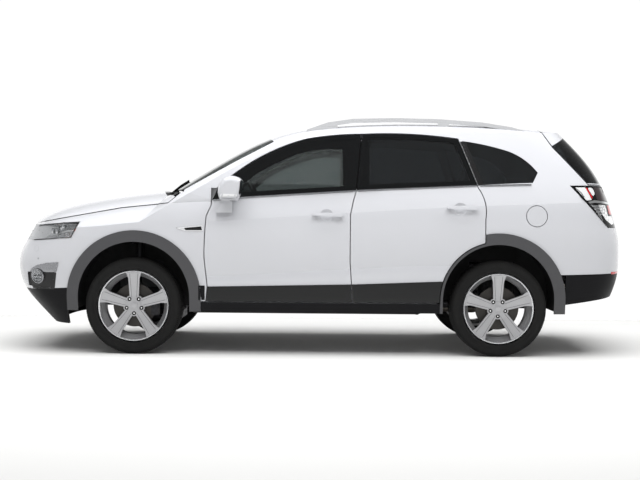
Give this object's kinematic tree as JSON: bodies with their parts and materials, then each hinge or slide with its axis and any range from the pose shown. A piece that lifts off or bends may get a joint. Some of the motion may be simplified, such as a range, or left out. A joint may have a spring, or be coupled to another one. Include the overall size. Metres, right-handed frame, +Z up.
{
  "type": "sport utility vehicle",
  "caption": "Compact family SUV with hinged doors, bonnet, tailgate and fuel flap, roof rails, dark lower cladding and alloy wheels that roll and steer.",
  "frame": {"origin": "on the ground under the middle of the vehicle's length and width", "axes": "+X towards the rear, +Y to the vehicle's right, +Z up; the left side, at -Y, is the one that the picture shows"},
  "size_m": [4.6757, 2.092, 1.7843],
  "materials": {
    "paint": "gloss",
    "frame_metal": "satin",
    "black_trim": "grained",
    "gloss_black": "gloss",
    "window_glass": "tinted",
    "lamp_glass": "clear",
    "tail_lamp_red": "gloss",
    "rail_silver": "satin",
    "rim_alloy": "painted silver",
    "tyre": "matte",
    "steel": "matte",
    "exhaust_steel": "dull",
    "liner_plastic": "matte",
    "cabin_plastic": "grained",
    "seat_fabric": "woven"
  },
  "bodies": {
    "body": {"body_side_left": "paint", "body_side_right": "paint", "roof": "paint", "roof_rails": "rail_silver", "fixed_windows": "window_glass", "cowl_panel": "black_trim", "front_wings": "paint", "front_bumper": "paint", "front_guard": "black_trim", "grille": "gloss_black", "headlamp_lenses": "lamp_glass", "headlamp_housings": "gloss_black", "arch_trims": "black_trim", "sill_trims": "black_trim", "rear_bumper": "paint", "rear_guard": "black_trim", "tail_lamps": "tail_lamp_red", "front_structure": "frame_metal", "cabin_floor": "frame_metal", "load_floor": "liner_plastic", "front_wheel_liners": "liner_plastic", "rear_wheel_liners": "liner_plastic", "engine_block": "steel", "front_suspension": "steel", "rear_suspension": "steel", "exhaust": "exhaust_steel", "dashboard": "cabin_plastic", "steering_wheel": "cabin_plastic", "front_seats": "seat_fabric", "rear_seat": "seat_fabric"},
    "front_door_left": {"front_door_left": "paint", "front_door_trim_left": "black_trim", "front_door_glass_left": "window_glass", "mirror_left": "paint"},
    "rear_door_left": {"rear_door_left": "paint", "rear_door_trim_left": "black_trim", "rear_door_glass_left": "window_glass"},
    "knuckle_left": {"knuckle_left": "steel"},
    "wheel_front_left": {"tyre_front_left": "tyre", "rim_front_left": "rim_alloy"},
    "wheel_rear_left": {"tyre_rear_left": "tyre", "rim_rear_left": "rim_alloy"},
    "front_door_right": {"front_door_right": "paint", "front_door_trim_right": "black_trim", "front_door_glass_right": "window_glass", "mirror_right": "paint"},
    "rear_door_right": {"rear_door_right": "paint", "rear_door_trim_right": "black_trim", "rear_door_glass_right": "window_glass"},
    "knuckle_right": {"knuckle_right": "steel"},
    "wheel_front_right": {"tyre_front_right": "tyre", "rim_front_right": "rim_alloy"},
    "wheel_rear_right": {"tyre_rear_right": "tyre", "rim_rear_right": "rim_alloy"},
    "bonnet": {"bonnet": "paint"},
    "tailgate": {"tailgate": "paint", "tailgate_window": "window_glass"},
    "fuel_flap": {"fuel_flap": "paint"}
  },
  "joints": [
    {"name": "front_door_left_hinge", "type": "hinge", "parent": "body", "child": "front_door_left", "pos_m": [-0.797, -0.887, 0.75], "axis": [0, 0, -1], "range_deg": [0, 65]},
    {"name": "rear_door_left_hinge", "type": "hinge", "parent": "body", "child": "rear_door_left", "pos_m": [0.282, -0.887, 0.75], "axis": [0, 0, -1], "range_deg": [0, 65]},
    {"name": "front_door_right_hinge", "type": "hinge", "parent": "body", "child": "front_door_right", "pos_m": [-0.797, 0.887, 0.75], "axis": [0, 0, 1], "range_deg": [0, 65]},
    {"name": "rear_door_right_hinge", "type": "hinge", "parent": "body", "child": "rear_door_right", "pos_m": [0.282, 0.887, 0.75], "axis": [0, 0, 1], "range_deg": [0, 65]},
    {"name": "bonnet_hinge", "type": "hinge", "parent": "body", "child": "bonnet", "pos_m": [-1.005, 0, 1.185], "axis": [0, 1, 0], "range_deg": [0, 55]},
    {"name": "tailgate_hinge", "type": "hinge", "parent": "body", "child": "tailgate", "pos_m": [1.72, 0, 1.715], "axis": [0, -1, 0], "range_deg": [0, 72]},
    {"name": "fuel_flap_hinge", "type": "hinge", "parent": "body", "child": "fuel_flap", "pos_m": [1.543, -0.893, 1.046], "axis": [0, 0, -1], "range_deg": [0, 100]},
    {"name": "steering_left", "type": "hinge", "parent": "body", "child": "knuckle_left", "pos_m": [-1.37, -0.7, 0.215], "axis": [0, 0.2254, 0.9743], "range_deg": [-33, 33]},
    {"name": "steering_right", "type": "hinge", "parent": "body", "child": "knuckle_right", "pos_m": [-1.37, 0.7, 0.215], "axis": [0, -0.2254, 0.9743], "range_deg": [-33, 33]},
    {"name": "wheel_front_left_spin", "type": "hinge", "parent": "knuckle_left", "child": "wheel_front_left", "pos_m": [-1.37, -0.783, 0.357], "axis": [0, 1, 0], "continuous": true},
    {"name": "wheel_front_right_spin", "type": "hinge", "parent": "knuckle_right", "child": "wheel_front_right", "pos_m": [-1.37, 0.783, 0.357], "axis": [0, 1, 0], "continuous": true},
    {"name": "wheel_rear_left_spin", "type": "hinge", "parent": "body", "child": "wheel_rear_left", "pos_m": [1.335, -0.783, 0.357], "axis": [0, 1, 0], "continuous": true},
    {"name": "wheel_rear_right_spin", "type": "hinge", "parent": "body", "child": "wheel_rear_right", "pos_m": [1.335, 0.783, 0.357], "axis": [0, 1, 0], "continuous": true}
  ],
  "couplings": [
    {"joint": "steering_right", "follows": "steering_left", "ratio": 1}
  ]
}
